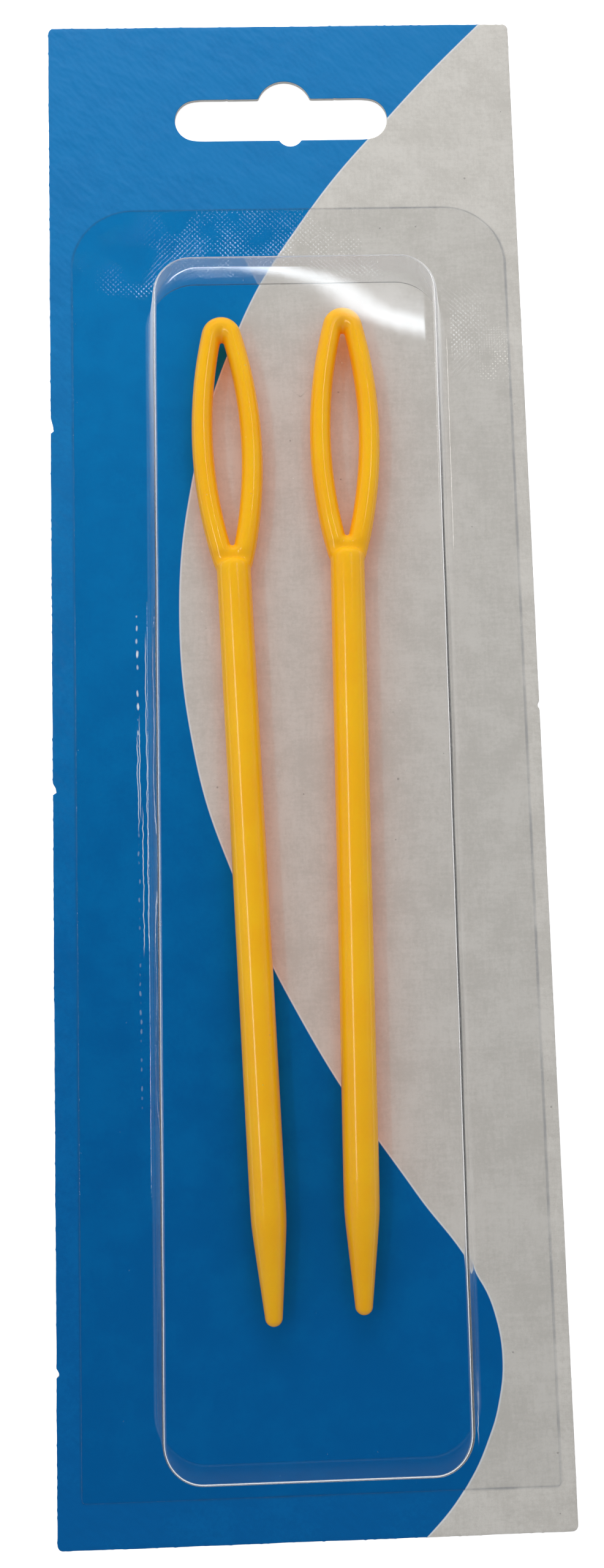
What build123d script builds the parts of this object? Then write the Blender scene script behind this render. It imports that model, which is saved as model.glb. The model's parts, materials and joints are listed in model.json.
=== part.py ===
"""Carded pack of two plastic yarn needles: a printed card, a clear blister and two loose needles.

Units are millimetres. The pack lies on its back: X runs across the card, Y runs along it
towards the hang slot, and +Z points out of the front. The origin is the centre of the card's
back face. The needles set the size of the blister's bubble, the bubble sets its flange, and
the flange sets the card.
"""
import os
from math import cos, radians, sin, sqrt

from build123d import *

# Needle: a round shaft with a long lens-shaped eye, moulded in one piece
needle_length = 141.5
shaft_diameter = 4.9
tip_diameter = 2.4
tip_round_share = 0.52
taper_length = 13.4
taper_blend_radius = 60.0
eye_length = 39.0
eye_width = 10.1
eye_end_round = 2.9
limb_width = 3.05
eye_end_wall = 3.75
neck_wall = 5.0
eye_depth = 3.4
eye_edge_round_share = 0.45
opening_end_round = 0.25
shaft_lap = 3.2
shaft_head_round_share = 0.6

# How the two needles lie in the bubble: tilts in degrees, from tip to eye, positive to the left
left_needle_tilt = 1.78
right_needle_tilt = -0.52
right_needle_lead = 1.16
needle_gap = 7.67
needle_lift = 0.15

# Room that the bubble leaves around the needles
left_side_room = 5.65
right_side_room = 10.08
eye_end_room = 6.6
tip_end_room = 18.2
head_room = 5.1

# Blister: one thermoformed film, with a flat flange and a drafted bubble
film_thickness = 0.3
wall_draft_angle = 10.0
bubble_corner_radius = 7.0
bubble_top_round = 1.1
bubble_root_round = 0.7
left_flange = 11.2
right_flange = 9.6
top_flange = 11.6
bottom_flange = 4.55
flange_top_radius = 9.0
flange_bottom_radius = 0.6

# Card, die cut with a hang slot
card_thickness = 0.5
left_margin = 3.4
right_margin = 2.2
top_margin = 29.5
bottom_margin = 6.05
card_corner_radius = 0.8
slot_width = 32.0
slot_height = 6.6
slot_top_margin = 11.85
hump_radius = 4.1
hump_rise = 2.8
hump_shift = 0.5
dent_radius = 1.9
dent_depth = 0.95
dent_shift = 1.3

# Small bites in the card's edges, where it was torn from its neighbours on the sheet
nick_radius = 1.1
nick_depth = 0.45
left_nick_shares = (0.714, 0.469, 0.105)
right_nick_shares = (0.517,)

# Sizes and places that follow from the values above
bubble_width = left_side_room + eye_width + needle_gap + eye_width + right_side_room
bubble_length = eye_end_room + needle_length + tip_end_room
bubble_depth = shaft_diameter + head_room
flange_width = left_flange + bubble_width + right_flange
flange_length = bottom_flange + bubble_length + top_flange
card_width = left_margin + flange_width + right_margin
card_height = bottom_margin + flange_length + top_margin

card_left = -card_width / 2
card_top = card_height / 2
card_bottom = -card_height / 2
flange_x = card_left + left_margin + flange_width / 2
flange_y = card_bottom + bottom_margin + flange_length / 2
bubble_left = card_left + left_margin + left_flange
bubble_bottom = card_bottom + bottom_margin + bottom_flange
bubble_right = bubble_left + bubble_width
bubble_top = bubble_bottom + bubble_length
bubble_x = bubble_left + bubble_width / 2
bubble_y = bubble_bottom + bubble_length / 2
print(f"card {card_width:.2f} x {card_height:.2f}, bubble {bubble_width:.2f} x {bubble_length:.2f}")


# Card: a plain sheet with the slot, its hump and dent, and the nicks cut out
slot_y = card_top - slot_top_margin - slot_height / 2
hump_y = slot_y + slot_height / 2 + hump_rise - hump_radius
dent_y = slot_y - slot_height / 2 - dent_depth + dent_radius
nick_offset = card_width / 2 + nick_radius - nick_depth
left_nicks = [(-nick_offset, card_bottom + share * card_height) for share in left_nick_shares]
right_nicks = [(nick_offset, card_bottom + share * card_height) for share in right_nick_shares]

with BuildPart() as backing_card:
    with BuildSketch(Plane.XY):
        RectangleRounded(card_width, card_height, card_corner_radius)
        with Locations((0, slot_y)):
            SlotOverall(slot_width, slot_height, mode=Mode.SUBTRACT)
        with Locations((hump_shift, hump_y)):
            Circle(hump_radius, mode=Mode.SUBTRACT)
        with Locations((dent_shift, dent_y)):
            Circle(dent_radius, mode=Mode.SUBTRACT)
        with Locations(*left_nicks, *right_nicks):
            Circle(nick_radius, mode=Mode.SUBTRACT)
    extrude(amount=card_thickness)
backing_card.part.label = "backing_card"


# Blister: the bubble and the flange are joined, rounded and then hollowed from the back
film_plane = Plane.XY.offset(card_thickness)
wall_offset = film_thickness / cos(radians(wall_draft_angle))
inner_width = bubble_width - 2 * wall_offset
inner_length = bubble_length - 2 * wall_offset
inner_corner_radius = bubble_corner_radius - wall_offset
inner_depth = bubble_depth - film_thickness


def bubble_loop(part, height):
    """The edges round the bubble at one height, without those of the flange's outline."""
    level = part.edges().filter_by_position(Axis.Z, height, height)
    across = level.filter_by_position(Axis.X, bubble_left, bubble_right)
    return across.filter_by_position(Axis.Y, bubble_bottom, bubble_top)


with BuildPart() as blister:
    with BuildSketch(film_plane):
        with Locations((bubble_x, bubble_y)):
            RectangleRounded(bubble_width, bubble_length, bubble_corner_radius)
    extrude(amount=bubble_depth, taper=wall_draft_angle)
    fillet(bubble_loop(blister, card_thickness + bubble_depth), bubble_top_round)
    with BuildSketch(film_plane) as flange_outline:
        with Locations((flange_x, flange_y)):
            Rectangle(flange_width, flange_length)
        fillet(flange_outline.vertices().group_by(Axis.Y)[-1], flange_top_radius)
        fillet(flange_outline.vertices().group_by(Axis.Y)[0], flange_bottom_radius)
    extrude(amount=film_thickness)
    fillet(bubble_loop(blister, card_thickness + film_thickness), bubble_root_round)
    with BuildSketch(film_plane):
        with Locations((bubble_x, bubble_y)):
            RectangleRounded(inner_width, inner_length, inner_corner_radius)
    extrude(amount=inner_depth, taper=wall_draft_angle, mode=Mode.SUBTRACT)
    fillet(bubble_loop(blister, card_thickness + inner_depth), bubble_top_round - film_thickness)
    fillet(bubble_loop(blister, card_thickness), bubble_root_round + film_thickness)
blister.part.label = "blister"


# Needles: the eye is a rounded ring, and the shaft is turned about the needle's own axis
shaft_radius = shaft_diameter / 2
tip_radius = tip_diameter / 2
opening_length = eye_length - eye_end_wall - neck_wall
eye_edge_round = eye_edge_round_share * min(limb_width, eye_depth)
needle_z = card_thickness + needle_lift + shaft_radius
left_eye_x = bubble_left + left_side_room + eye_width / 2
right_eye_x = left_eye_x + eye_width + needle_gap
left_end_y = bubble_top - eye_end_room
right_end_y = left_end_y + right_needle_lead
needle_places = {
    "needle_left": (left_eye_x, left_end_y, left_needle_tilt),
    "needle_right": (right_eye_x, right_end_y, right_needle_tilt),
}


def lens(half_width, half_length, end_round, mode=Mode.ADD):
    """A lens of two equal arcs, as wide and long as stated once its two points are rounded."""
    rise = (half_length - end_round) ** 2 + half_width ** 2 - end_round ** 2
    side_radius = rise / (2 * (half_width - end_round))
    point_y = sqrt(2 * side_radius * half_width - half_width ** 2)
    with BuildSketch(mode=Mode.PRIVATE) as outline:
        with BuildLine():
            ThreePointArc((0, -point_y), (half_width, 0), (0, point_y))
            ThreePointArc((0, point_y), (-half_width, 0), (0, -point_y))
        make_face()
        fillet(outline.vertices(), end_round)
    add(outline.sketch, mode=mode)


def corners_at(profile, radius):
    """The corners of a turned profile that lie at one radius, from the tip upwards."""
    return profile.vertices().filter_by_position(Axis.X, radius, radius).sort_by(Axis.Y)


needles = {}
for name, (eye_x, end_y, tilt) in needle_places.items():
    turn = radians(tilt)
    lie = Plane(origin=(eye_x, end_y, needle_z), x_dir=(cos(turn), sin(turn), 0), z_dir=(0, 0, 1))
    with BuildPart() as needle:
        with BuildSketch(lie):
            with Locations((0, -eye_length / 2)):
                lens(eye_width / 2, eye_length / 2, eye_end_round)
            with Locations((0, -eye_end_wall - opening_length / 2)):
                lens(eye_width / 2 - limb_width, opening_length / 2, opening_end_round, Mode.SUBTRACT)
        extrude(amount=eye_depth / 2, both=True)
        rims = needle.edges().group_by(Axis.Z)
        fillet(rims[-1] + rims[0], eye_edge_round)
        with BuildSketch(lie) as shaft_profile:
            with BuildLine():
                Polyline(
                    (0, shaft_lap - eye_length),
                    (shaft_radius, shaft_lap - eye_length),
                    (shaft_radius, taper_length - needle_length),
                    (tip_radius, -needle_length),
                    (0, -needle_length),
                    close=True,
                )
            make_face()
            fillet(corners_at(shaft_profile, shaft_radius)[-1], shaft_head_round_share * shaft_radius)
            fillet(corners_at(shaft_profile, shaft_radius)[0], taper_blend_radius)
            fillet(corners_at(shaft_profile, tip_radius)[0], tip_round_share * tip_diameter)
        revolve(axis=Axis(lie.origin, lie.y_dir))
    needle.part.label = name
    needles[name] = needle


os.makedirs("parts", exist_ok=True)
export_step(backing_card.part, "parts/backing_card.step")
export_step(blister.part, "parts/blister.step")
for name, needle in needles.items():
    export_step(needle.part, f"parts/{name}.step")
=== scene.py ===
import json
import math

import bmesh
import bpy
import numpy as np
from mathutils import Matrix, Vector


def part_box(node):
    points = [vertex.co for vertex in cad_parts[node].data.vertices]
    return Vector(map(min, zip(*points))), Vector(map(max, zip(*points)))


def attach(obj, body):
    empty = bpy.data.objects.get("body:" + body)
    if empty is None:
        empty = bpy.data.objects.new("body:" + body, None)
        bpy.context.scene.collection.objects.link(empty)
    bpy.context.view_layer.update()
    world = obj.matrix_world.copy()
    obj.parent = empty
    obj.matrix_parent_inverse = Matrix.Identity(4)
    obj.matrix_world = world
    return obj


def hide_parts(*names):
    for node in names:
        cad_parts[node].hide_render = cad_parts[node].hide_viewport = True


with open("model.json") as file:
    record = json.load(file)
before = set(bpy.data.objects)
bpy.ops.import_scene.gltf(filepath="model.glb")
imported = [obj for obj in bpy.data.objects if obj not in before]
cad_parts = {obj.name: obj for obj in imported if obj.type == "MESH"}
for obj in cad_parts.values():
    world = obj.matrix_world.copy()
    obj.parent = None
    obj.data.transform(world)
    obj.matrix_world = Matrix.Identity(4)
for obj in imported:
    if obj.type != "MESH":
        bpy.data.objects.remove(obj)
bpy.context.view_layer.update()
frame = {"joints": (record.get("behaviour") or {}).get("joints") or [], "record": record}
unit = 0.001  # shapes are worked out in millimetres, and the scene is in metres
print("frame loaded")


def boxOf(node):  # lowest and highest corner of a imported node, in millimetres
    low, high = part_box(node)
    return np.array(low) / unit, np.array(high) / unit


def newObject(name, data):
    made = bpy.data.objects.new(name, data)
    bpy.context.scene.collection.objects.link(made)
    return made


# the camera looks down on the pack from where the photograph was taken
cameraView = {
    "lens": 28.125,
    "sensor": 36.0,
    "place": (-3.80, -24.86, 173.95),
    "turn": (5.93869, -1.23439, -1.54771),  # degrees about x, y and z
    "nearest": 10.0,
    "farthest": 20000.0,
}


def makeCamera():
    data = bpy.data.cameras.new("camera")
    data.lens = cameraView["lens"]
    data.sensor_width = cameraView["sensor"]
    data.clip_start = cameraView["nearest"] * unit
    data.clip_end = cameraView["farthest"] * unit
    camera = newObject("camera", data)
    camera.location = Vector(cameraView["place"]) * unit
    camera.rotation_euler = [math.radians(angle) for angle in cameraView["turn"]]
    bpy.context.scene.camera = camera


makeCamera()
print("camera placed")


building = []  # the node trees that are open: a new node goes into the last one


# a value given to an input is either a socket to link or a number to set
def addNode(kind, inputs=None, **settings):
    tree = building[-1]
    node = tree.nodes.new("ShaderNode" + kind)
    for name, value in settings.items():
        setattr(node, name, value)
    for key, value in (inputs or {}).items():
        if isinstance(value, bpy.types.NodeSocket):
            tree.links.new(value, node.inputs[key])
        else:
            node.inputs[key].default_value = value
    return node


def calc(operation, *values):
    return addNode("Math", dict(enumerate(values)), operation=operation).outputs[0]


def minus(first, second):
    return calc("SUBTRACT", first, second)


def times(first, *others):
    for other in others:
        first = calc("MULTIPLY", first, other)
    return first


def ramp(value, start, end, low=0.0, high=1.0):  # smooth step from low at start to high at end
    steps = {"Value": value, "From Min": start, "From Max": end, "To Min": low, "To Max": high}
    return addNode("MapRange", steps, interpolation_type="SMOOTHSTEP").outputs[0]


def coordinate(place, number):  # one coordinate of a place, in millimetres
    return calc("DIVIDE", addNode("SeparateXYZ", {0: place}).outputs[number], unit)


def stretch(place, scale):
    return addNode("Mapping", {"Vector": place, "Scale": scale}).outputs[0]


def mixValue(share, first, second):
    return addNode("Mix", {0: share, 2: first, 3: second}, data_type="FLOAT").outputs[0]


def mixColour(share, first, second, blend="MIX"):
    inputs = {0: share, 6: first, 7: second}
    return addNode("Mix", inputs, data_type="RGBA", blend_type=blend).outputs[2]


def mixShader(share, first, second):
    return addNode("MixShader", {0: share, 1: first, 2: second}).outputs[0]


def forEachRay(seen, diffuse, shadow):
    path = addNode("LightPath").outputs
    return mixShader(path["Is Shadow Ray"], mixShader(path["Is Diffuse Ray"], seen, diffuse), shadow)


def newGroup(name, vectors, numbers=()):
    tree = bpy.data.node_groups.new(name, "ShaderNodeTree")
    for kind, labels in (("NodeSocketVector", vectors), ("NodeSocketFloat", numbers)):
        for label in labels:
            tree.interface.new_socket(label, in_out="INPUT", socket_type=kind)
    building.append(tree)
    return tree.nodes.new("NodeGroupInput").outputs


def endGroup(value):
    tree = building.pop()
    tree.interface.new_socket("Value", in_out="OUTPUT", socket_type="NodeSocketFloat")
    tree.links.new(value, tree.nodes.new("NodeGroupOutput").inputs[0])
    return tree


def useGroup(group, inputs):
    return addNode("Group", inputs, node_tree=group).outputs[0]


def openTree(owner):  # a material or the world
    owner.use_nodes = True
    owner.node_tree.nodes.clear()
    building.append(owner.node_tree)
    return addNode("TexCoord").outputs


def endTree(surface, kind="OutputMaterial"):
    addNode(kind, {"Surface": surface})
    building.pop()


def newMaterial(name):
    material = bpy.data.materials.new(name)
    return material, openTree(material)["Object"]


# mottle: two sizes of soft noise added up, for blotches, orange peel and flow marks
def makeMottle():
    given = newGroup("mottle", ["Vector"], ["Size", "Fine Share"])
    finerBy = 3.1
    frequency = calc("DIVIDE", 1.0 / unit, given["Size"])
    sizes = [
        addNode("TexNoise", {"Vector": given["Vector"], "Scale": scale, "Detail": 1.0}).outputs[0]
        for scale in (frequency, times(frequency, finerBy))
    ]
    return endGroup(mixValue(given["Fine Share"], *sizes))


# specks: a few of the cells of a voronoi pattern hold one small round mark each
def makeSpecks():
    given = newGroup("specks", ["Vector"], ["Pitch", "Radius", "Share"])
    frequency = calc("DIVIDE", 1.0 / unit, given["Pitch"])
    pattern = {"Vector": given["Vector"], "Scale": frequency}
    cells = addNode("TexVoronoi", pattern, voronoi_dimensions="2D").outputs
    apart = addNode("SeparateColor", {0: cells["Color"]}).outputs
    reach = times(calc("DIVIDE", given["Radius"], given["Pitch"]), apart[1])
    ratio = calc("DIVIDE", cells["Distance"], reach)
    round_ = ramp(ratio, 0.6, 1.0, 1.0, 0.0)
    chosen = calc("LESS_THAN", apart[0], given["Share"])
    return endGroup(times(round_, chosen))


# boxDistance: how far a point lies outside a rectangle with rounded corners, seen from above, in millimetres
def makeBoxDistance():
    given = newGroup("boxDistance", ["Vector", "Centre", "Half Size"], ["Corner"])
    steps = (
        ("SCALE", {3: 1.0 / unit}),
        ("SUBTRACT", {1: given["Centre"]}),
        ("ABSOLUTE", {}),
        ("SUBTRACT", {1: given["Half Size"]}),
    )
    beyond = given["Vector"]
    for operation, other in steps:
        beyond = addNode("VectorMath", {0: beyond, **other}, operation=operation).outputs[0]
    apart = addNode("SeparateXYZ", {0: beyond}).outputs
    across = calc("ADD", apart[0], given["Corner"])
    along = calc("ADD", apart[1], given["Corner"])
    outAcross = calc("MAXIMUM", across, 0.0)
    outAlong = calc("MAXIMUM", along, 0.0)
    squares = calc("ADD", times(outAcross, outAcross), times(outAlong, outAlong))
    inside = calc("MINIMUM", calc("MAXIMUM", across, along), 0.0)
    reach = calc("ADD", calc("SQRT", squares), inside)
    return endGroup(minus(reach, given["Corner"]))


mottle = makeMottle()
specks = makeSpecks()
boxDistance = makeBoxDistance()
print("shared node groups built")


def noise(place, size, fineShare):
    return useGroup(mottle, {"Vector": place, "Size": size, "Fine Share": fineShare})


def swayed(value, amount, base):  # the base, moved up or down by an amount of a noise
    return calc("MULTIPLY_ADD", minus(value, 0.5), amount, base)


def speckMask(place, pitch, radius, share):
    return useGroup(specks, {"Vector": place, "Pitch": pitch, "Radius": radius, "Share": share})


# mesh building: points is rows x columns x 3, and neighbouring rows and columns are joined by squares
def stacked(*parts):
    return np.stack(parts, axis=-1)


def arcPoints(centre, radius, angle):
    return np.array(centre) + radius * stacked(np.cos(angle), np.sin(angle))


def gridFaces(rows, columns, closeRows):
    row = np.arange(rows if closeRows else rows - 1)[:, None]
    column = np.arange(columns)[None, :]
    here, following = row * columns, (row + 1) % rows * columns
    beside = (column + 1) % columns
    corners = (here + column, here + beside, following + beside, following + column)
    return stacked(*corners).reshape(-1, 4)


def gridMesh(name, points, closeRows=False, attributes=None):
    rows, columns = points.shape[:2]
    mesh = bpy.data.meshes.new(name)
    faces = gridFaces(rows, columns, closeRows)
    mesh.from_pydata((points.reshape(-1, 3) * unit).tolist(), [], faces.tolist())
    for label, values in (attributes or {}).items():
        numbers = values.ravel().astype(np.float32)
        mesh.attributes.new(label, "FLOAT", "POINT").data.foreach_set("value", numbers)
    tidyMesh(mesh)
    return mesh


def tidyMesh(mesh, gap=1e-7):  # merges the points of a pole, and turns every face outwards
    work = bmesh.new()
    work.from_mesh(mesh)
    bmesh.ops.remove_doubles(work, verts=work.verts, dist=gap)
    bmesh.ops.dissolve_degenerate(work, edges=work.edges, dist=gap)
    bmesh.ops.recalc_face_normals(work, faces=work.faces)
    work.to_mesh(mesh)
    work.free()


def makePiece(name, mesh, material, body, node):
    piece = newObject(name, mesh)
    mesh.materials.clear()
    mesh.materials.append(material)
    mesh.shade_smooth()
    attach(piece, body)
    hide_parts(node)
    return piece


# a rectangle with rounded corners, once round anticlockwise from its lower right corner: each corner is a
# quarter turn about its own centre, and each straight is shared out evenly between two corners
def roundedLoop(low, high, topRound, bottomRound, steps):
    corners = (
        (high[0], low[1], bottomRound, (-1, 1)),
        (high[0], high[1], topRound, (-1, -1)),
        (low[0], high[1], topRound, (1, -1)),
        (low[0], low[1], bottomRound, (1, 1)),
    )
    arcs = []
    for number, (x, y, radius, inward) in enumerate(corners):
        angle = np.radians(90 * (number - 1) + np.linspace(0, 90, steps["corner"] + 1))
        arcs.append(arcPoints(np.array((x, y)) + radius * np.array(inward), radius, angle))
    parts = []
    for number, arc in enumerate(arcs):
        count = steps["side"] if number % 2 == 0 else steps["end"]
        straight = np.linspace(arc[-1], arcs[(number + 1) % 4][0], count + 1)
        parts += [arc, straight[1:-1]]
    return np.concatenate(parts)


def loopNormals(loop):  # square to the line between each point's two neighbours, pointing out of the loop
    along = np.roll(loop, -1, axis=0) - np.roll(loop, 1, axis=0)
    normal = stacked(along[:, 1], -along[:, 0])
    return normal / np.maximum(np.linalg.norm(normal, axis=1, keepdims=True), 1e-9)


def smoothShare(value, start, end):  # 0 before start, 1 after end, with a smooth step between them
    share = np.clip((value - start) / (end - start), 0.0, 1.0)
    return share * share * (3 - 2 * share)


# backing card: a die-cut sheet with torn nibs along its edges and a slight bow at its free upper end
card = {
    "cornerRound": 0.9,
    "edgeRound": 0.12,
    "edgeDrop": 0.05,
    "edgeMargin": 0.8,  # how far in from the card's edge the nicks and nibs are felt
    "steps": {"side": 680, "end": 220, "corner": 8},
    "frontRings": 18,
    "backRings": 8,
    "slotPlace": (0.0, 93.85),
    "slotHalf": (16.0, 3.3),
    "humpCentre": (0.5, 2.0),
    "humpRadius": 4.1,
    "dentCentre": (1.3, -2.35),
    "dentRadius": 1.9,
    "slotSoften": 9,  # points that the slot's inner corners are eased over
    "sidesFrom": 34.0,  # a point of the outline farther out than this lies on one of the long sides
    "rightCalm": 0.45,  # the right edge was cut cleaner
    "nibPitch": 1.4,
    "nibHeight": 0.09,
    "nibWidth": 0.16,
    "waveHeight": 0.035,
    "waveLengths": (0.9, 2.3, 5.1),
    "seed": 4,
    "bowReach": (80.0, 125.0),
    "bowHeight": 0.15,
}
# bites in the edges: side, middle, length, depth, and the share of the length that slopes in from above
nicks = (
    (-1, 46.65, 2.2, 0.42, 0.75),
    (-1, -6.75, 1.6, 0.5, 0.55),
    (-1, -86.1, 1.2, 0.35, 0.5),
    (1, 3.7, 1.1, 0.25, 0.4),
)


def slotReach(angle):
    # how far the slot's edge lies from its middle in a direction: the farthest of a round-ended bar and two
    # circles
    cosine, sine = np.cos(angle), np.sin(angle)
    halfWidth, halfHeight = card["slotHalf"]
    straight = halfWidth - halfHeight
    flat = halfHeight / np.maximum(np.abs(sine), 1e-6)
    rounded = straight * np.abs(cosine) + np.sqrt(np.maximum(halfHeight**2 - (straight * sine) ** 2, 0.0))
    reach = np.where(np.abs(cosine) * flat <= straight, flat, rounded)
    for circle in ("hump", "dent"):
        (x, y), radius = card[circle + "Centre"], card[circle + "Radius"]
        along = x * cosine + y * sine
        inside = along**2 - (x * x + y * y - radius**2)
        reach = np.maximum(reach, np.where(inside > 0, along + np.sqrt(np.maximum(inside, 0.0)), 0.0))
    count = card["slotSoften"]
    wrapped = np.concatenate((reach[-count:], reach, reach[:count]))
    return np.convolve(wrapped, np.ones(count) / count, mode="same")[count:-count]


def edgeOffset(loop, run):
    # how far the card's torn edge stands out: a slow wave, a nib at each perforation, less the nicks
    random = np.random.default_rng(card["seed"])
    lengths = card["waveLengths"]
    wave = sum(np.sin(run / length + phase) for length, phase in zip(lengths, random.uniform(0, 6, 3)))
    count = int(run[-1] / card["nibPitch"]) + 2
    heights = random.uniform(0.1, 1.0, count) ** 2 * card["nibHeight"]
    shifts = random.uniform(0.3, 0.7, count)
    number = (run / card["nibPitch"]).astype(int)
    beside = (run / card["nibPitch"] - number - shifts[number]) * card["nibPitch"]
    nibs = heights[number] * np.exp(-((beside / card["nibWidth"]) ** 2))
    offset = card["waveHeight"] * wave / len(lengths) + nibs
    offset = offset * np.where(loop[:, 0] > card["sidesFrom"], card["rightCalm"], 1.0)
    for side, middle, length, depth, slope in nicks:
        share = (loop[:, 1] - middle) / length + 0.5
        bite = np.clip(np.minimum((1 - share) / slope, share / (1 - slope) * 3), 0.0, 1.0)
        offset = offset - depth * bite * (loop[:, 0] * side > card["sidesFrom"])
    return offset


def bow(x, y):  # the free upper end lifts a little, more on the right
    return card["bowHeight"] * smoothShare(y, *card["bowReach"]) * (1 + 0.25 * np.sin(x / 14.0))


def cardPoints():
    # rings between the slot's edge and the card's edge, front and back, joined by the two cut faces. Every
    # slot point lies straight towards its card edge point, as seen from the slot's middle, and only the rings
    # outside the last inner one follow the torn edge
    low, high = boxOf("backing_card")
    thick = high[2]
    straight = roundedLoop(low[:2], high[:2], card["cornerRound"], card["cornerRound"], card["steps"])
    run = np.cumsum(np.linalg.norm(straight - np.roll(straight, 1, axis=0), axis=1))
    outNormal = loopNormals(straight)
    torn = straight + outNormal * (edgeOffset(straight, run) - card["nibHeight"])[:, None]
    shoulder = straight - outNormal * card["edgeMargin"]
    middle = np.array(card["slotPlace"])
    angle = np.arctan2(shoulder[:, 1] - middle[1], shoulder[:, 0] - middle[0])
    outward = stacked(np.cos(angle), np.sin(angle))
    slot = middle + slotReach(angle)[:, None] * outward
    drop, roundOff = card["edgeDrop"], card["edgeRound"]
    slotIn = slot + outward * roundOff
    tornIn = torn - outNormal * roundOff
    lip, lipLevel, cutTop = roundOff * 0.3, thick - drop * 0.4, thick - drop * 2
    shares = 0.5 - 0.5 * np.cos(np.linspace(0, np.pi, card["frontRings"]))
    rings = [(slotIn + (shoulder - slotIn) * share, thick, 1.0) for share in shares]
    rings += [(tornIn, thick, 1.0), (torn - outNormal * lip, lipLevel, 1.0)]
    rings += [(torn, cutTop, 0.0), (torn, drop, 0.0), (tornIn, 0.0, -1.0)]
    shares = np.linspace(1, 0, card["backRings"])
    rings += [(slotIn + (shoulder - slotIn) * share, 0.0, -1.0) for share in shares]
    rings += [(slot, drop, 0.0), (slot, cutTop, 0.0), (slot + outward * lip, lipLevel, 1.0)]
    flat = np.array([ring for ring, height, layer in rings])
    height = np.array([height for ring, height, layer in rings])[:, None] + bow(flat[..., 0], flat[..., 1])
    layers = np.array([layer for ring, height, layer in rings])[:, None]
    points = np.concatenate((flat, height[..., None]), axis=-1)
    return points, np.broadcast_to(layers, flat.shape[:2])


# where the blue print ends, from the card's top to its bottom: distance up the card, then across it
printEdge = (
    (109.0, 30.5), (94.8, 16.8), (78.0, 2.9), (60.2, -7.5), (38.4, -14.3), (18.4, -16.6), (-2.2, -14.8),
    (-20.1, -9.5), (-41.3, 0.1), (-64.1, 14.7), (-74.5, 22.15), (-80.5, 24.85), (-86.5, 25.6), (-92.1, 24.8),
    (-96.7, 23.2), (-101.7, 20.6), (-109.0, 14.3),
)
# in each look, noises are given by size and share of the finer half, specks by pitch, radius and share, and
# smooth steps by start and end, with the value at each where it isn't 0 and 1
cardLook = {
    "blue": (0.0020, 0.170, 0.435, 1),
    "blueDeep": (0.0010, 0.098, 0.305, 1),
    "bottomShadeReach": (-105.0, 112.0),  # painted shade: the blue deepens from the second to the first of these heights on the card, so that the card looks less lit towards its bottom
    "inkTone": (0.3, 0.7, 0.15, -0.15),
    "blotches": (9.0, 0.35),
    "grain": (0.55, 0.5),
    "grainAmount": 0.8,
    "pale": (0.567, 0.545, 0.507, 1),
    "paleWarm": (0.491, 0.470, 0.433, 1),
    "paleReach": (0.25, 0.75),
    "weave": (0.6, 0.4),
    "weaveStretch": 0.16,
    "weaveAmount": 0.45,
    "specks": (6.5, 0.2, 0.22),
    "speckColour": (0.16, 0.15, 0.14, 1),
    "speckStrength": 0.5,
    "line": (0.62, 0.65, 0.67, 1),
    "lineWidth": 0.17,
    "edgeSoftness": 0.07,
    "filmCorners": (0.6, 9.0),  # the flange's lower and upper corners
    "cornerBlend": 20.0,
    "sealReach": (-0.2, 0.1, 1.0, 0.0),
    # painted shadow along the flange's rim: its colour, the band's inner and outer steps, and its blotchy
    # strength
    "rimShadow": (0.012, 0.045, 0.10, 1),
    "rimShadowIn": (-0.25, 0.0),
    "rimShadowOut": (0.05, 0.4, 1.0, 0.0),
    "rimShadowTone": (0.35, 0.65, 0.15, 0.4),
    "board": (0.47, 0.46, 0.43, 1),
    "backBoard": (0.50, 0.49, 0.45, 1),
    "fibre": (0.5, 0.75),  # the grain's part in the board's brightness, and the lowest brightness
    "backReach": (-0.6, -0.9),
    "frontReach": (0.55, 0.75),
    "peel": (3.8, 0.45),
    "peelTurn": -48.0,  # degrees from across the card to the streaks of the lacquer
    "peelStretch": 1.8,
    "peelDepth": 0.32,
    "sealedPeel": 0.25,
    "glossReach": (-30.0, 105.0, 0.05, 0.34),  # two heights on the card, and the specular level at each
    "sealedGloss": 0.2,
    "lacquerRoughness": (0.12, 0.30),  # the grain's part, and the lowest roughness
    "sealedRoughness": (0.2, 0.55),
    "ior": 1.48,
}
# where the seal round the bubble let go, rows of pale drops and thin lines are painted on the card: partly
# the film's whitish glue, partly painted glints where the loose film catches the light
sealGlueAndGlints = {
    # place across, upper and lower end, pitch, half width and strength
    "rows": ((-22.75, 18.0, -2.0, 1.9, 0.20, 1.0), (-22.85, -13.0, -52.0, 1.3, 0.16, 0.25)),
    # place across, upper and lower end
    "lines": (
        (-21.55, 16.0, -30.5), (-22.25, -9.0, -31.0), (-22.55, 4.0, -12.0), (-22.85, 2.0, -14.0),
        (21.9, -87.0, -97.5),
    ),
    "wander": (2.0, 0.3),
    "wanderAmount": 0.5,
    "dropReach": (0.5, 1.2, 1.0, 0.0),
    "lineWidth": 0.06,
    "lineStrength": 0.7,
    "lineFades": (4.0, 3.0),
    "colour": (0.72, 0.80, 0.86, 1),
}


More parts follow.
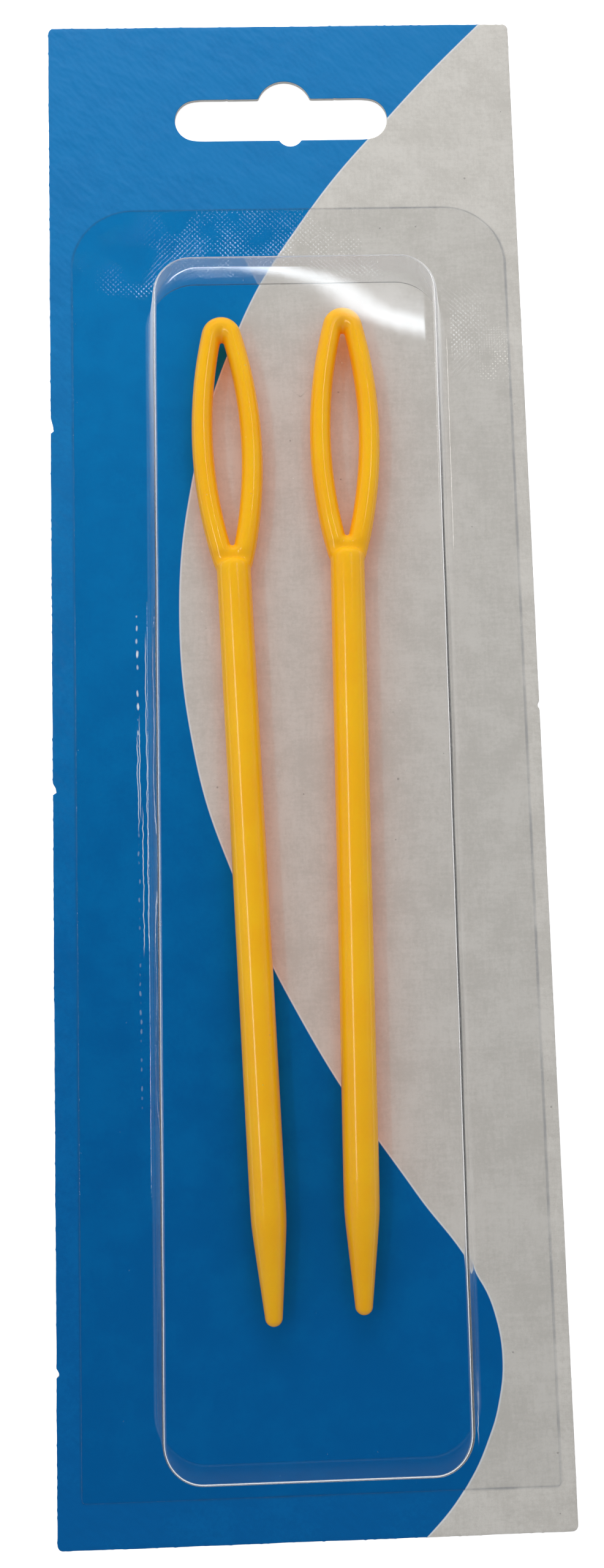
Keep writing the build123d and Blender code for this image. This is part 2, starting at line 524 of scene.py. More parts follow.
def makePrintBorder(halfWidth, halfHeight):
    # distance to the right of the print's edge, in millimetres and square to the edge: the distance across
    # the card, shortened by the edge's slope, which is read from the curve a little above and below
    place = newGroup("printBorder", ["Vector"])[0]
    across, along = (coordinate(place, number) for number in (0, 1))

    def edgeAt(shift):
        share = ramp(calc("ADD", along, shift), -halfHeight, halfHeight)
        share.node.interpolation_type = "LINEAR"
        curve = addNode("FloatCurve", {"Value": share})
        points = curve.mapping.curves[0].points
        shares = sorted(((y / halfHeight + 1) / 2, (x / halfWidth + 1) / 2) for y, x in printEdge)
        points[0].location, points[1].location = shares[0], shares[-1]
        for point in shares[1:-1]:
            points.new(*point)
        curve.mapping.update()
        return calc("MULTIPLY_ADD", curve.outputs[0], 2 * halfWidth, -halfWidth)

    step = 2.0
    rise = calc("DIVIDE", minus(edgeAt(step), edgeAt(-step)), 2 * step)
    length = calc("SQRT", calc("MULTIPLY_ADD", rise, rise, 1.0))
    return endGroup(calc("DIVIDE", minus(across, edgeAt(0.0)), length))


# the mask of the pale seal marks: partly glue, partly painted glints
def makeSealGlueAndGlints():
    place = newGroup("sealGlueAndGlints", ["Vector"])[0]
    wander = noise(place, *sealGlueAndGlints["wander"])
    across = swayed(wander, sealGlueAndGlints["wanderAmount"], coordinate(place, 0))
    along = coordinate(place, 1)
    mask = 0.0
    for middle, high, low, pitch, half, strength in sealGlueAndGlints["rows"]:
        # each drop is an oval, as long and as wide as its own random number says
        count = calc("DIVIDE", along, pitch)
        number = calc("FLOOR", count)
        chance = addNode("TexWhiteNoise", {"W": number}, noise_dimensions="1D").outputs["Value"]
        up = times(minus(minus(count, number), 0.5), pitch)
        tall = calc("DIVIDE", up, calc("MULTIPLY_ADD", chance, pitch * 0.25, half * 0.6))
        wide = calc("MULTIPLY_ADD", chance, half * 0.6, half * 0.4)
        beside = calc("DIVIDE", minus(across, middle), wide)
        reach = calc("SQRT", calc("MULTIPLY_ADD", tall, tall, times(beside, beside)))
        drop = times(ramp(reach, *sealGlueAndGlints["dropReach"]), times(chance, strength))
        ends = times(calc("LESS_THAN", along, high), calc("GREATER_THAN", along, low))
        mask = calc("MAXIMUM", mask, times(drop, ends))
    width, (upperFade, lowerFade) = sealGlueAndGlints["lineWidth"], sealGlueAndGlints["lineFades"]
    for middle, high, low in sealGlueAndGlints["lines"]:
        beside = calc("ABSOLUTE", minus(across, middle))
        line = ramp(beside, width * 0.5, width * 1.5, sealGlueAndGlints["lineStrength"], 0.0)
        ends = times(ramp(along, high, high - upperFade), ramp(along, low, low + lowerFade))
        mask = calc("MAXIMUM", mask, times(line, ends))
    return endGroup(mask)


def makeCardMaterial():
    material, place = newMaterial("printedCard")
    look = cardLook
    high = boxOf("backing_card")[1]
    border = useGroup(makePrintBorder(high[0], high[1]), {"Vector": place})
    layer = addNode("Attribute", attribute_name="cardLayer").outputs["Fac"]
    along = coordinate(place, 1)

    blotches = noise(place, *look["blotches"])
    grain = noise(place, *look["grain"])
    tone = swayed(grain, look["grainAmount"], blotches)
    # painted shade: the blue darkens towards the card's bottom, and the ink's random tone is added to it
    bottomShade = ramp(along, *look["bottomShadeReach"], 1.0, 0.0)
    depth = calc("ADD", bottomShade, ramp(tone, *look["inkTone"]))
    blue = mixColour(depth, look["blue"], look["blueDeep"])
    # the pale stock shows its fibres both ways, like a fine linen
    woven = tone
    for scale in ((look["weaveStretch"], 1.0, 1.0), (1.0, look["weaveStretch"], 1.0)):
        thread = noise(stretch(place, scale), *look["weave"])
        woven = swayed(thread, look["weaveAmount"], woven)
    pale = mixColour(ramp(woven, *look["paleReach"]), look["pale"], look["paleWarm"])
    marks = times(speckMask(place, *look["specks"]), look["speckStrength"])
    pale = mixColour(marks, pale, look["speckColour"])

    soft, width = look["edgeSoftness"], look["lineWidth"]
    ink = mixColour(ramp(border, -soft, soft), blue, look["line"])
    ink = mixColour(ramp(border, width - soft, width + 2 * soft), ink, pale)
    # pale seal marks painted on the print: partly glue, partly painted glints
    glueAndGlints = useGroup(makeSealGlueAndGlints(), {"Vector": place})
    ink = mixColour(glueAndGlints, ink, sealGlueAndGlints["colour"])
    # under the film's flange the lacquer lies flat against the seal, and a painted shadow darkens a thin band
    # along the flange's rim
    filmLow, filmHigh = boxOf("blister")
    middle, blend = (filmLow + filmHigh) / 2, look["cornerBlend"]
    corner = ramp(along, middle[1] - blend, middle[1] + blend, *look["filmCorners"])
    beyondFilm = useGroup(boxDistance, {
        "Vector": place, "Centre": middle, "Half Size": (filmHigh - filmLow) / 2, "Corner": corner,
    })
    sealed = ramp(beyondFilm, *look["sealReach"])
    rim = times(ramp(beyondFilm, *look["rimShadowIn"]), ramp(beyondFilm, *look["rimShadowOut"]))
    rimShadow = times(rim, ramp(blotches, *look["rimShadowTone"]))
    ink = mixColour(rimShadow, ink, look["rimShadow"])

    cut = mixColour(ramp(layer, *look["backReach"]), look["board"], look["backBoard"])
    fibre = calc("MULTIPLY_ADD", grain, *look["fibre"])
    fibres = addNode("CombineColor", {0: fibre, 1: fibre, 2: fibre}).outputs[0]
    cut = mixColour(1.0, cut, fibres, "MULTIPLY")
    front = ramp(layer, *look["frontReach"])
    colour = mixColour(front, cut, ink)

    turned = addNode("Mapping", {
        "Vector": place,
        "Rotation": (0, 0, math.radians(look["peelTurn"])),
        "Scale": (look["peelStretch"], 1.0, 1.0),
    }, vector_type="TEXTURE").outputs[0]
    peel = noise(turned, *look["peel"])
    strength = calc("MULTIPLY_ADD", sealed, look["sealedPeel"] - 1.0, 1.0)
    bump = addNode("Bump", {
        "Height": peel, "Strength": strength, "Distance": look["peelDepth"] * unit,
    })
    open_ = times(front, minus(1.0, sealed))
    shine = calc("MULTIPLY_ADD", grain, *look["lacquerRoughness"])
    matt = calc("MULTIPLY_ADD", grain, *look["sealedRoughness"])
    roughness = mixValue(open_, matt, shine)
    # the lacquer is thickest near the slot, and the seal has dulled it
    dulled = ramp(sealed, 0.0, 1.0, 1.0, look["sealedGloss"])
    gloss = times(ramp(along, *look["glossReach"]), dulled)
    shader = addNode("BsdfPrincipled", {
        "Base Color": colour, "Roughness": roughness, "Normal": bump.outputs[0], "IOR": look["ior"],
        "Specular IOR Level": gloss,
    })
    endTree(shader.outputs[0])
    return material


def makeCard():
    points, layers = cardPoints()
    mesh = gridMesh("backing_card_sheet", points, closeRows=True, attributes={"cardLayer": layers})
    return makePiece("backing_card_sheet", mesh, makeCardMaterial(), "pack", "backing_card")


makeCard()
print("backing card made")


# blister: one film, drawn up into a bubble. Its flange lies on the card, and its walls lean inwards
blister = {
    "film": 0.27,
    "underside": 0.03,  # over the card, so that the two faces never share a plane
    "bubbleLow": (-20.4, -98.4),
    "bubbleHigh": (23.2, 67.9),
    "cornerRound": 7.0,
    "draft": 10.0,  # degrees
    "topRound": 0.6,
    "rootRound": 0.7,
    "flangeTopRound": 9.0,
    "flangeBottomRound": 0.6,
    "rimRound": 0.06,
    "steps": {"side": 170, "end": 44, "corner": 14},
    "rootSteps": 7,
    "wallSteps": 12,
    "crownSteps": 8,
    "topSteps": 15,
    "flangeShares": (0.0, 0.006, 0.1, 0.35, 0.65, 0.9),
    # waves of the drawn film: height, length across, length along and phase
    "wallWave": 0.07,
    "wallWaves": ((1.0, math.inf, 7.3, 1.0), (0.7, 9.0, 3.1, 0.0), (0.5, math.inf, 17.0, 2.0)),
    "topWave": 0.015,
    "topWaves": ((1.0, 5.2, 11.0, 0.0), (0.8, -8.0, 6.1, 1.3), (0.6, math.inf, 23.0, 0.0)),
    "topSag": 2.4,  # the three waves together, so that the top never stands above its height
    "topInset": (2.2, 9.0),
    "topLift": (0.9, 1.0),
    # the bubble was formed a little askew: it moves to the left from its upper to its lower end, its right
    # wall leans in more and its end walls less. Each is a share of the inset, so it grows up the wall
    "shift": (-0.1, -1.15),
    "rightLean": 0.20,
    "rightReach": (12.0, 3.0),
    "upperEnd": (-0.25, 0.51),
    "lowerEnd": (-0.10, -0.20),
    "endReach": (-14.0, -4.0),
}


def bubbleBox():
    return np.array(blister["bubbleLow"]), np.array(blister["bubbleHigh"])


def bubbleLoop(inset):
    low, high = bubbleBox()
    corner = blister["cornerRound"] - inset
    loop = roundedLoop(low + inset, high - inset, corner, corner, blister["steps"])
    x, y = loop[:, 0], loop[:, 1]
    share = (high[1] - y) / (high[1] - low[1])
    across = blister["shift"][0] + (blister["shift"][1] - blister["shift"][0]) * share
    start, end = blister["rightReach"]
    across = across - blister["rightLean"] * inset * smoothShare(x, high[0] - start, high[0] - end)
    along = np.zeros(len(loop))
    ends = ((blister["upperEnd"], y - high[1]), (blister["lowerEnd"], low[1] - y))
    for (atFoot, perInset), beyond in ends:
        along += (atFoot + perInset * inset) * smoothShare(beyond, *blister["endReach"])
    return stacked(x + across, y + along)


def bubbleProfile(depth, base, top):
    # inset and height up one wall, at a depth under the film's outer face: a quarter turn out of the flange,
    # a straight drafted wall, and a quarter turn into the top
    draft = math.radians(blister["draft"])
    flange, level = base + blister["film"] - depth, top - depth
    root, crown = blister["rootRound"] + depth, blister["topRound"] - depth

    def wallInset(height):
        return (height - base) * math.tan(draft) + depth / math.cos(draft)

    rootAngle = np.radians(np.linspace(-90, -blister["draft"], blister["rootSteps"]))
    crownAngle = np.radians(np.linspace(180 - blister["draft"], 90, blister["crownSteps"]))
    rootMiddle = (wallInset(flange + root) - root / math.cos(draft), flange + root)
    crownMiddle = (wallInset(level - crown) + crown / math.cos(draft), level - crown)
    lower = arcPoints(rootMiddle, root, rootAngle)
    upper = arcPoints(crownMiddle, crown, crownAngle)
    wall = np.linspace(lower[-1], upper[0], blister["wallSteps"])[1:-1]
    return np.concatenate((lower, wall, upper))


def flangeLoop(low, high):
    corners = blister["flangeTopRound"], blister["flangeBottomRound"]
    return roundedLoop(low[:2], high[:2], *corners, blister["steps"])


def filmSide(depth, flangeInset, base, top, filmLow, filmHigh):
    # rings from the flange's rim over the flange, up the wall and over the top to the bubble's middle line.
    # The second result is 1 on the wall's rings and 0 on the rest
    level = base + blister["film"] - depth
    rim = flangeLoop(filmLow + flangeInset, filmHigh - flangeInset)
    profile = bubbleProfile(depth, base, top)
    foot = bubbleLoop(profile[0, 0])
    rings = [(rim + (foot - rim) * share, level) for share in blister["flangeShares"]]
    walls = [0.0] * len(rings)
    rings += [(bubbleLoop(inset), height) for inset, height in profile]
    walls += [0.0, 0.0] + [1.0] * (len(profile) - 5) + [0.7, 0.3, 0.0]
    edge = rings[-1][0]
    low, high = bubbleBox()
    middle, half = (low + high) / 2, (high - low) / 2
    reach = half[1] - half[0]
    spineAlong = np.clip(edge[:, 1], middle[1] - reach, middle[1] + reach)
    spine = stacked(np.full(len(edge), middle[0]), spineAlong)
    shares = np.linspace(0, 1, blister["topSteps"])[1:]
    rings += [(edge + (spine - edge) * share, top - depth) for share in shares]
    walls += [0.0] * len(shares)
    flat = np.array([ring for ring, height in rings])
    heights = np.array([height for ring, height in rings])
    levels = np.broadcast_to(heights[:, None, None], flat.shape[:2] + (1,))
    return np.concatenate((flat, levels), axis=-1), np.array(walls)


def waves(x, y, parts):
    return sum(height * np.sin(x / across + y / along + phase) for height, across, along, phase in parts)


def drawnShape(points, base, top):  # what heat and handling did: wavy walls and a top face that sags
    x, y, z = points[..., 0], points[..., 1], points[..., 2]
    low, high = bubbleBox()
    lift = np.clip((z - base) / (top - base), 0.0, 1.0)
    side = np.sign(x - (low[0] + high[0]) / 2)
    x = x + blister["wallWave"] * waves(x, y, blister["wallWaves"]) * np.sin(np.pi * lift) * side
    inside = np.minimum(np.minimum(x - low[0], high[0] - x), np.minimum(y - low[1], high[1] - y))
    onTop = smoothShare(inside, *blister["topInset"]) * smoothShare(lift, *blister["topLift"])
    z = z + onTop * blister["topWave"] * (waves(x, y, blister["topWaves"]) - blister["topSag"])
    return stacked(x, y, z)


def blisterPoints():
    filmLow, filmHigh = boxOf("blister")
    base = boxOf("backing_card")[1][2] + blister["underside"]
    top = filmHigh[2]
    film, rimRound = blister["film"], blister["rimRound"]
    inner, innerWalls = filmSide(film, rimRound, base, top, filmLow, filmHigh)
    outer, outerWalls = filmSide(0.0, rimRound, base, top, filmLow, filmHigh)
    rim = flangeLoop(filmLow, filmHigh)
    heights = (base + rimRound, base + (film - rimRound))
    edge = [np.column_stack((rim, np.full(len(rim), height))) for height in heights]
    points = np.concatenate((inner[::-1], np.array(edge), outer))
    walls = np.concatenate((innerWalls[::-1], (0.0, 0.0), outerWalls))[:, None]
    return drawnShape(points, base + film, top), np.broadcast_to(walls, points.shape[:2])


filmLook = {
    "tint": (0.992, 0.996, 1.0, 1),
    "shadowTint": (0.995, 0.995, 0.995, 1),
    "ior": 1.53,
    "flangeReach": (0.5, 1.2),
    "sealPitch": 0.75,
    "sealDepth": 0.006,
    "sealWear": (12.0, 0.3),
    "wearReach": (0.4, 0.65),
    "flow": (6.0, 0.25),
    "flowStretch": 0.35,
    "flowDepth": 0.007,
    "roughness": 0.03,
    "dust": (6.5, 0.13, 0.25),
    "dustRoughness": 0.3,
    "foldRoughness": 0.2,
    "foldWalls": (0.0, 0.25),
    "foldHeight": (9.4, 9.9),  # the fold at the bubble's top edge, whose drawn film is a little frosted
    "hazeReach": (24.0, 70.0, 0.06, 1.0),
    "hazeHeight": (1.5, 8.5, 0.15, 1.0),
}


def makeFilmMaterial():
    material, place = newMaterial("clearFilm")
    look = filmLook
    low, high = bubbleBox()
    middle, half = (low + high) / 2, (high - low) / 2
    outside = useGroup(boxDistance, {
        "Vector": place, "Centre": (*middle, 0), "Half Size": (*half, 0), "Corner": blister["cornerRound"],
    })
    flange = ramp(outside, *look["flangeReach"])

    # the sealing tool left a grid of fine dots in the flange
    apart = addNode("SeparateXYZ", {0: place}).outputs
    turns = 2 * math.pi / (look["sealPitch"] * unit)
    wave = times(*(calc("SINE", times(apart[number], turns)) for number in (0, 1)))
    worn = noise(place, *look["sealWear"])
    dots = times(wave, flange, ramp(worn, *look["wearReach"]))
    flow = noise(stretch(place, (1.0, look["flowStretch"], 1.0)), *look["flow"])
    first = addNode("Bump", {"Height": dots, "Distance": look["sealDepth"] * unit})
    second = addNode("Bump", {
        "Height": flow, "Distance": look["flowDepth"] * unit, "Normal": first.outputs[0],
    })
    dust = speckMask(place, *look["dust"])
    # drawing the film stretched its walls, most at the upper end, and left them hazy
    walls = addNode("Attribute", attribute_name="filmWall").outputs["Fac"]
    along, height = (coordinate(place, number) for number in (1, 2))
    folds = times(ramp(walls, *look["foldWalls"]), ramp(height, *look["foldHeight"]))
    roughness = calc("MULTIPLY_ADD", dust, look["dustRoughness"], look["roughness"])
    roughness = calc("MULTIPLY_ADD", folds, look["foldRoughness"], roughness)
    haze = times(walls, ramp(along, *look["hazeReach"]), ramp(height, *look["hazeHeight"]))
    glass = addNode("BsdfPrincipled", {
        "Base Color": look["tint"], "Roughness": roughness, "IOR": look["ior"],
        "Transmission Weight": 1.0, "Normal": second.outputs[0], "Sheen Weight": haze,
    })
    # light from the lamps and from the card passes straight through, and only the eye sees the film bend it
    clear = addNode("BsdfTransparent", {"Color": look["shadowTint"]}).outputs[0]
    endTree(forEachRay(glass.outputs[0], clear, clear))
    return material


def makeBlister():
    points, walls = blisterPoints()
    mesh = gridMesh("blister_film", points, attributes={"filmWall": walls})
    return makePiece("blister_film", mesh, makeFilmMaterial(), "pack", "blister")


makeBlister()
print("blister made")


# needles: an eye ring whose round limbs meet in a solid end, and a turned shaft, moulded in one
needle = {
    "length": 141.5,
    "shaftRadius": 2.45,
    "tipRadius": 1.2,
    "taper": 13.4,
    "taperBlend": 4.0,
    "tipDome": 1.15,
    "headStart": 36.1,
    "headRound": 1.3,
    "eyeLength": 39.0,
    "eyeHalfWidth": 5.05,
    "eyeEndRound": 2.9,
    "openingStart": 3.75,
    "openingLength": 30.25,
    "openingHalfWidth": 2.0,
    "openingEndRound": 0.3,
    "depth": 3.4,
    "valleyDepth": 0.30,
    "valleyWidth": 0.55,
    "valleyLength": 2.3,
    "dipPlace": 36.0,
    "dipDepth": 0.20,
    "dipWidth": 0.55,
    "sideSteps": 72,
    "endSteps": 26,
    "aroundSteps": 32,
    "shaftSteps": 56,
    "plainSteps": 100,
    "taperSteps": 40,
    "roundSteps": 12,
    "seamSoften": 4,
    "seamReach": (2.2, 1.2),  # how far the easing goes below the shaft's head and above the opening's end
}


def lensLoop(halfWidth, halfLength, endRound, middle):
    # a lens of two equal arcs with rounded ends, once round anticlockwise from its lower right:
    # each side is an arc about a centre far across, and each end an arc that it runs into
    side = ((halfLength - endRound) ** 2 + halfWidth**2 - endRound**2) / (2 * (halfWidth - endRound))
    turn = math.atan2(halfLength - endRound, side - halfWidth)
    along = np.linspace(-turn, turn, needle["sideSteps"])
    around = np.linspace(turn, math.pi - turn, needle["endSteps"] + 2)[1:-1]
    right = arcPoints((halfWidth - side, 0.0), side, along)
    top = arcPoints((0.0, halfLength - endRound), endRound, around)
    return np.concatenate((right, top, -right, -top)) + np.array((0.0, middle))


def eyePoints():
    # the ring's skin: half way between the outer and the inner lens, plus a cosine share of half the way
    # across and a sine share of the depth
    half, openingHalf = needle["eyeLength"] / 2, needle["openingLength"] / 2
    start = needle["openingStart"]
    outer = lensLoop(needle["eyeHalfWidth"], half, needle["eyeEndRound"], -half)
    inner = lensLoop(
        needle["openingHalfWidth"], openingHalf, needle["openingEndRound"], -start - openingHalf,
    )
    angle = np.linspace(0, 2 * math.pi, needle["aroundSteps"], endpoint=False)[None, :, None]
    flat = (outer + inner)[:, None] / 2 + (outer - inner)[:, None] / 2 * np.cos(angle)
    height = needle["depth"] / 2 * np.sin(angle[..., 0]) * np.ones(len(outer))[:, None]
    x, y = flat[..., 0], flat[..., 1]
    above = np.clip((y + start) / needle["valleyLength"], 0.0, 1.0)
    valley = np.exp(-((x / needle["valleyWidth"]) ** 2)) * (y > -start - 1) * (1 - above) ** 1.5
    dip = np.exp(-(((y + needle["dipPlace"]) / needle["dipWidth"]) ** 2))
    height = height * (1 - needle["valleyDepth"] * valley) * (1 - needle["dipDepth"] * dip)
    return np.concatenate((flat, height[..., None]), axis=-1)


def shaftPoints():
    # radius down the shaft: a rounded head, a straight run, a taper that starts softly, and a domed tip
    length, wide, narrow = needle["length"], needle["shaftRadius"], needle["tipRadius"]
    start, dome, headRound = needle["headStart"], needle["tipDome"], needle["headRound"]
    blend = needle["taperBlend"]
    turn = np.linspace(0, math.pi / 2, needle["roundSteps"])
    head = stacked(start + headRound * (1 - np.cos(turn)), wide - headRound * (1 - np.sin(turn)))
    shoulder = length - needle["taper"]
    plain = np.linspace(head[-1, 0], shoulder - blend, needle["plainSteps"])[1:]
    run = np.linspace(shoulder - blend, length - dome, needle["taperSteps"])[1:]
    slope = (wide - narrow) / (length - dome - shoulder)
    beyond = run - shoulder
    # the taper is a hyperbola that runs from the shaft's side into a straight cone
    cone = wide - slope * (beyond + np.sqrt(beyond**2 + (blend / 3) ** 2)) / 2
    cap = turn[1:]
    domed = stacked(length - dome + dome * np.sin(cap), cone[-1] * np.cos(cap))
    straight = stacked(plain, np.full(len(plain), wide))
    profile = np.concatenate((((start, 0.0),), head, straight, stacked(run, cone), domed))
    angle = np.linspace(0, 2 * math.pi, needle["shaftSteps"], endpoint=False)[None, :]
    down, radius = profile[:, 0][:, None], profile[:, 1][:, None]
    return stacked(radius * np.cos(angle), -down * np.ones_like(angle), radius * np.sin(angle))


def joinShapes(name, first, second):  # one closed skin round both shapes
    holders = [newObject(name + part, mesh) for part, mesh in (("A", first), ("B", second))]
    union = holders[0].modifiers.new("union", "BOOLEAN")
    union.operation, union.solver, union.object = "UNION", "EXACT", holders[1]
    bpy.context.view_layer.update()
    graph = bpy.context.evaluated_depsgraph_get()
    joined = bpy.data.meshes.new_from_object(holders[0].evaluated_get(graph))
    joined.name = name
    for holder, mesh in zip(holders, (first, second)):
        bpy.data.objects.remove(holder)
        bpy.data.meshes.remove(mesh)
    return joined


def easeNeck(mesh):  # the mould has a small radius where the eye runs into the shaft
    work = bmesh.new()
    work.from_mesh(mesh)
    below, above = needle["seamReach"]
    low = -(needle["headStart"] + below) * unit
    high = -(needle["openingStart"] + needle["openingLength"] + above) * unit
    near = [vert for vert in work.verts if low < vert.co.y < high]
    for _ in range(needle["seamSoften"]):
        bmesh.ops.smooth_vert(work, verts=near, factor=0.5, use_axis_x=True, use_axis_y=True, use_axis_z=True)
    work.to_mesh(mesh)
    work.free()


needleLook = {
    "amber": (0.98, 0.515, 0.008, 1),
    "amberDeep": (0.965, 0.480, 0.007, 1),
    "clouds": (7.0, 0.25),
    "cloudReach": (0.35, 0.65),
    "dust": (3.4, 0.08, 0.2),
    "dustColour": (0.95, 0.75, 0.40, 1),
    "dustStrength": 0.15,
    # painted light: the deeper orange of the needle's lower half
    "paintedLowAmber": (1.0, 0.385, 0.004, 1),
    "lowReach": (1.8, -0.6),  # heights over the parting line
    "tipShade": (0.86, 0.87, 1.0, 1),
    "tipShadeReach": (-30.0, -90.0),  # painted shade: the plastic is darkened a little towards the tips, where less light falls
    "partingReach": (0.03, 0.12, 1.0, 0.0),
    "partingHeight": 3.0,  # beside the flow marks
    "flow": (2.4, 0.3),
    "flowStretch": 0.22,
    "flowDepth": 0.002,
    "roughness": (0.06, 0.14),  # the flow's part, and the lowest roughness
    "ior": 1.5,
    "seep": 0.30,
    "seepReach": (1.0, 0.42, 0.08),
    "seepScale": 1.4,
    "shadowTint": (0.82, 0.40, 0.04, 1),
    # painted glow, for the light scattered in the plastic
    "glow": (1.0, 0.27, 0.0, 1),
    "glowStrength": 0.17,
}


def makeNeedleMaterial(name, partingHeight):
    material, place = newMaterial(name)
    look = needleLook
    flow = noise(stretch(place, (1.0, look["flowStretch"], 1.0)), *look["flow"])
    clouds = ramp(noise(place, *look["clouds"]), *look["cloudReach"])
    colour = mixColour(clouds, look["amber"], look["amberDeep"])
    dust = times(speckMask(place, *look["dust"]), look["dustStrength"])
    colour = mixColour(dust, colour, look["dustColour"])
    # painted light: the lower half is coloured a deeper orange, for light that has come far through the
    # plastic
    above = minus(coordinate(place, 2), partingHeight)
    colour = mixColour(ramp(above, *look["lowReach"]), colour, look["paintedLowAmber"])
    # painted shade: darker towards the tips
    dulled = ramp(coordinate(place, 1), *look["tipShadeReach"])
    colour = mixColour(dulled, colour, look["tipShade"], "MULTIPLY")
    parting = ramp(calc("ABSOLUTE", above), *look["partingReach"])
    relief = calc("MULTIPLY_ADD", parting, look["partingHeight"], flow)
    bump = addNode("Bump", {"Height": relief, "Distance": look["flowDepth"] * unit})
    roughness = calc("MULTIPLY_ADD", flow, *look["roughness"])
    shader = addNode("BsdfPrincipled", {
        "Base Color": colour, "Roughness": roughness, "IOR": look["ior"], "Normal": bump.outputs[0],
        "Subsurface Weight": look["seep"], "Subsurface Radius": look["seepReach"],
        "Subsurface Scale": look["seepScale"] * unit,
    })
    # some of the light goes through the plastic, tinted orange, and a painted glow, seen only by light
    # bounced from the card, stands in for the light scattered in it: both fall orange on the card
    tinted = addNode("BsdfTransparent", {"Color": look["shadowTint"]}).outputs[0]
    glow = addNode("Emission", {"Color": look["glow"], "Strength": look["glowStrength"]}).outputs[0]
    lit = addNode("AddShader", {0: tinted, 1: glow}).outputs[0]
    endTree(forEachRay(shader.outputs[0], lit, tinted))
    return material


def makeNeedle(side):
    node = "needle_" + side
    mounts = frame["record"]["mounts"]
    axis = np.array(next(joint["axis"] for joint in frame["joints"] if joint["child"] == node))
    eye = np.array(next(mount["pos_m"] for mount in mounts if mount["name"] == "needle_eye_" + side))
    end = eye / unit + axis * (needle["openingStart"] + needle["openingLength"] / 2)
    name = node + "_moulding"
    mesh = joinShapes(name, gridMesh("ring", eyePoints(), closeRows=True), gridMesh("shaft", shaftPoints()))
    easeNeck(mesh)
    local = np.empty(len(mesh.vertices) * 3, np.float32)
    mesh.vertices.foreach_get("co", local)
    local = local.reshape(-1, 3)
    # the needle's own x and y lie along and square to its axis on the card
    across = np.array((axis[1], -axis[0], 0.0))
    upward = np.array((0.0, 0.0, 1.0))
    placed = end * unit + local[:, :1] * across + local[:, 1:2] * axis + local[:, 2:] * upward
    mesh.vertices.foreach_set("co", placed.astype(np.float32).ravel())
    mesh.update()
    tidyMesh(mesh)
    return makePiece(name, mesh, makeNeedleMaterial(node + "Plastic", end[2]), node, node)


for side in ("left", "right"):
    makeNeedle(side)
    print("needle made:", side)


# stage: a pale floor that the camera sees as white wherever no shadow falls, and a dim room. The film and the
# lacquer mirror the room over the camera, which is dark, and the lighter walls low down
stage = {
    "floorHalf": 1500.0,
    "floorDrop": 0.02,
    "floorColour": (0.80, 0.80, 0.80, 1),
    "floorGlow": 0.62,
    "skyColour": (0.95, 0.97, 1.0, 1),
    "skyStrength": 0.66,
    "mirrorReach": (0.45, 0.80, 0.30, 0.005),  # from the walls to the room's top
    "whiteStrength": 1.0,
}
# lamps: place, the point that each faces, its width and height in millimetres, colour and brightness
lamps = {
    "window": ((-60.0, 430.0, 240.0), (0.0, 0.0, 0.0), (420.0, 260.0), (1.0, 0.99, 0.97), 4.2),
    "left": ((-178.0, -15.0, 300.0), (-10.0, -15.0, 0.0), (240.0, 20.0), (1.0, 0.98, 0.94), 9.0),
    "right": ((128.0, 165.0, 300.0), (0.0, 165.0, 0.0), (90.0, 14.0), (1.0, 0.98, 0.94), 9.0),
}
mirroredLamps = ("left", "right")  # the wide window would drown the film in glare from low in front
# transom: the bent strip of daylight that the top of the bubble mirrors. Its middle runs level on the left
# and falls away to the right, and it widens on the way. Only mirrors see it
transom = {
    "low": (-50.0, 180.0),
    "high": (66.0, 240.0),
    "level": 300.0,
    "start": 226.0,
    "bendPlace": -12.0,
    "bendLength": 10.0,
    "fall": 0.185,
    "widening": (-46.0, 20.0),
    "halfWidths": (2.5, 5.6),
    "brightness": (14.0, 7.2),
    "core": (0.1, 1.25, 1.0, 0.0),
    "haze": 0.26,
    "hazeIn": (0.0, 0.5),
    "hazeOut": (0.8, 3.2, 1.0, 0.0),
    "hazeAcross": (15.0, 60.0),
    "hazeAlong": (220.0, 227.0, 1.0, 0.0),
    "endFades": (14.0, 8.0),
    "colour": (0.88, 0.94, 1.0, 1),
}


def makeSheet(name, corners):  # one flat face, whose new material is left open
    mesh = bpy.data.meshes.new(name)
    mesh.from_pydata((np.array(corners) * unit).tolist(), [], [(0, 1, 2, 3)])
    material, place = newMaterial(name)
    mesh.materials.append(material)
    return newObject(name, mesh), place


def makeFloor():
    half, level = stage["floorHalf"], -stage["floorDrop"]
    corners = ((-half, -half, level), (half, -half, level), (half, half, level), (-half, half, level))
    floor = makeSheet("floor", corners)[0]
    path = addNode("LightPath").outputs
    mirrored = calc("MAXIMUM", path["Is Glossy Ray"], path["Is Transmission Ray"])
    seen = calc("MAXIMUM", path["Is Camera Ray"], mirrored)
    diffuse = addNode("BsdfDiffuse", {"Color": stage["floorColour"]})
    glow = addNode("Emission", {"Strength": times(seen, stage["floorGlow"])})
    endTree(addNode("AddShader", {0: diffuse.outputs[0], 1: glow.outputs[0]}).outputs[0])


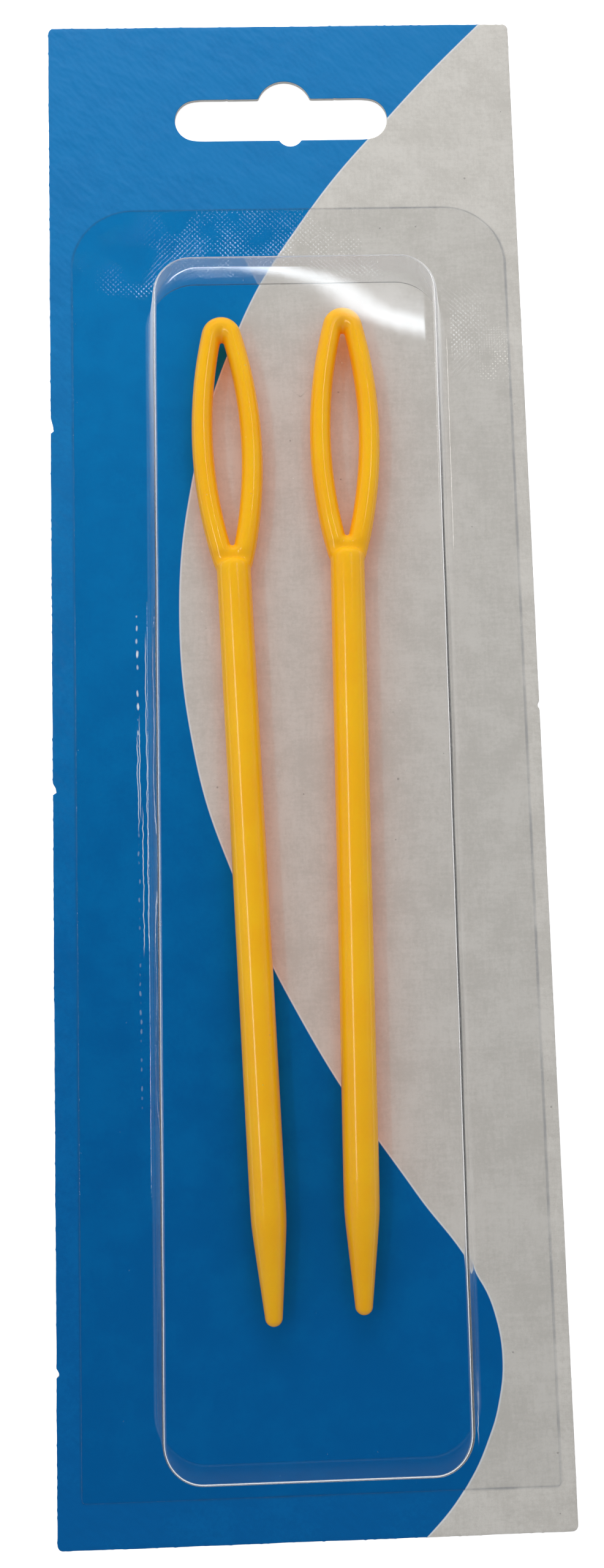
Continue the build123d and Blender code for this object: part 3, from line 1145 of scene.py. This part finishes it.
def makeSky():
    world = bpy.data.worlds.new("sky")
    height = addNode("SeparateXYZ", {0: openTree(world)["Generated"]}).outputs[2]
    path = addNode("LightPath").outputs
    mirrored = ramp(height, *stage["mirrorReach"])
    strength = mixValue(path["Is Glossy Ray"], stage["skyStrength"], mirrored)
    plain = addNode("Background", {"Color": stage["skyColour"], "Strength": strength})
    white = addNode("Background", {"Color": (1, 1, 1, 1), "Strength": stage["whiteStrength"]})
    endTree(mixShader(path["Is Camera Ray"], plain.outputs[0], white.outputs[0]), "OutputWorld")
    bpy.context.scene.world = world


def makeTransom():
    (left, near), (right, far), level = transom["low"], transom["high"], transom["level"]
    corners = ((left, near, level), (left, far, level), (right, far, level), (right, near, level))
    strip, place = makeSheet("transom", corners)
    across, along = (coordinate(place, number) for number in (0, 1))
    # the middle line is a hyperbola: start - fall * (u + sqrt(u * u + bend * bend))
    past = minus(across, transom["bendPlace"])
    bend = calc("SQRT", calc("MULTIPLY_ADD", past, past, transom["bendLength"] ** 2))
    middle = calc("MULTIPLY_ADD", calc("ADD", past, bend), -transom["fall"], transom["start"])
    half = ramp(across, *transom["widening"], *transom["halfWidths"])
    share = calc("DIVIDE", minus(along, middle), half)
    core = ramp(calc("ABSOLUTE", share), *transom["core"])
    above = times(ramp(share, *transom["hazeIn"]), ramp(share, *transom["hazeOut"]))
    haze = times(above, transom["haze"], ramp(across, *transom["hazeAcross"]))
    haze = times(haze, ramp(along, *transom["hazeAlong"]))
    leftFade, rightFade = transom["endFades"]
    leftEnd = ramp(across, left, left + leftFade)
    ends = times(leftEnd, ramp(across, right - rightFade, right, 1.0, 0.0))
    light = times(calc("MAXIMUM", core, haze), ends)
    brightness = ramp(across, *transom["widening"], *transom["brightness"])
    strength = times(light, brightness)
    endTree(addNode("Emission", {"Color": transom["colour"], "Strength": strength}).outputs[0])
    strip.visible_camera = strip.visible_diffuse = strip.visible_shadow = False


def makeLamps():
    for name, (place, target, size, colour, brightness) in lamps.items():
        data = bpy.data.lights.new(name, "AREA")
        data.shape = "RECTANGLE"
        data.size, data.size_y = size[0] * unit, size[1] * unit
        data.color = colour
        data.energy = brightness * math.pi * data.size * data.size_y
        lamp = newObject(name, data)
        lamp.visible_glossy = lamp.visible_transmission = name in mirroredLamps
        lamp.location = Vector(place) * unit
        lamp.rotation_euler = (Vector(target) - Vector(place)).to_track_quat("-Z", "Y").to_euler()


makeFloor()
makeSky()
makeTransom()
makeLamps()
bpy.context.scene.view_settings.view_transform = "Standard"
print("stage and lamps set")
